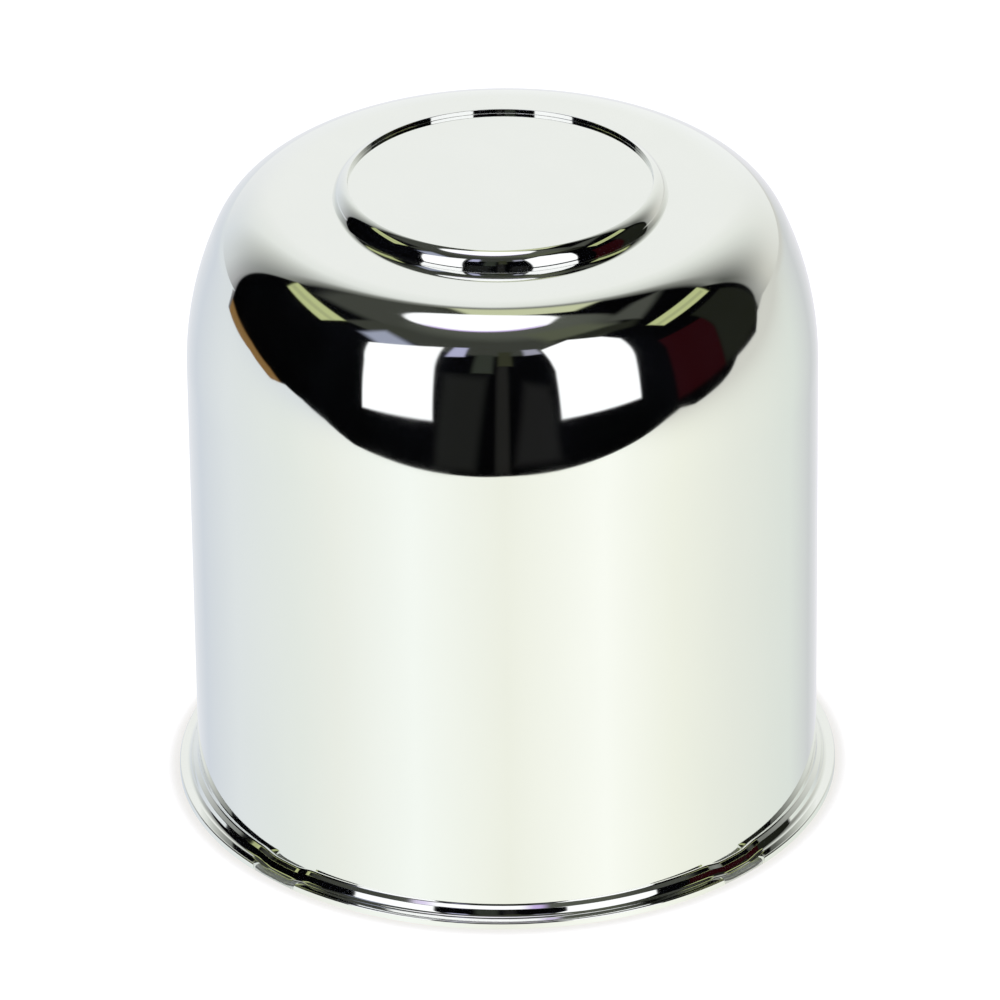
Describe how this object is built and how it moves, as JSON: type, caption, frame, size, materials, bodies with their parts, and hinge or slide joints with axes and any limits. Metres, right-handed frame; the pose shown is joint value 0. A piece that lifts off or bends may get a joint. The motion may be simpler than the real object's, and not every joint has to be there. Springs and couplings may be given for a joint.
{
  "type": "wheel center cap",
  "caption": "Push-through wheel center cap: deep straight cup of chromed sheet steel with a rounded shoulder, a raised ring around a bare badge seat and a stepped rim.",
  "frame": {"origin": "centre of the rim's lower edge, on the cap's axis", "axes": "+Z along the cap's axis, out of the wheel; one tab of the rim lies halfway between +X and +Y"},
  "size_m": [0.1146, 0.1146, 0.1138],
  "materials": {
    "chrome": "bright plated, plain inside"
  },
  "bodies": {
    "root": {"center_cap": "chrome"}
  },
  "joints": []
}
